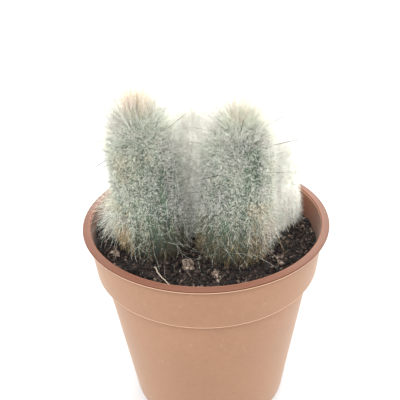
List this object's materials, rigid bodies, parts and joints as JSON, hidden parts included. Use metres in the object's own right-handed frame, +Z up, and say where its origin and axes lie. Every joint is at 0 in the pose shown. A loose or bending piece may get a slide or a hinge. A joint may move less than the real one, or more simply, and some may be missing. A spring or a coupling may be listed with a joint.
{
  "type": "potted austrocephalocereus",
  "caption": "Woolly, white-haired column cacti with ribs and spines, standing in peat in a small round plastic pot; a desk or windowsill plant.",
  "frame": {"origin": "centre of the pot's underside, on the surface that it stands on", "axes": "+Z up along the pot's axis, -Y towards the front of the pot, +X to its right"},
  "size_m": [0.055, 0.055, 0.0785],
  "materials": {
    "pot_plastic": "satin",
    "peat": "matte",
    "cactus": "matte",
    "bark": "matte",
    "straw": "matte"
  },
  "bodies": {
    "root": {"pot": "pot_plastic", "soil": "peat", "stem_front_left": "cactus", "stem_front_right": "cactus", "stem_back_middle": "cactus", "stem_back_right": "cactus", "bark_chip_front": "bark", "bark_chip_small": "bark", "bark_chip_left": "bark", "straw": "straw"}
  },
  "joints": []
}
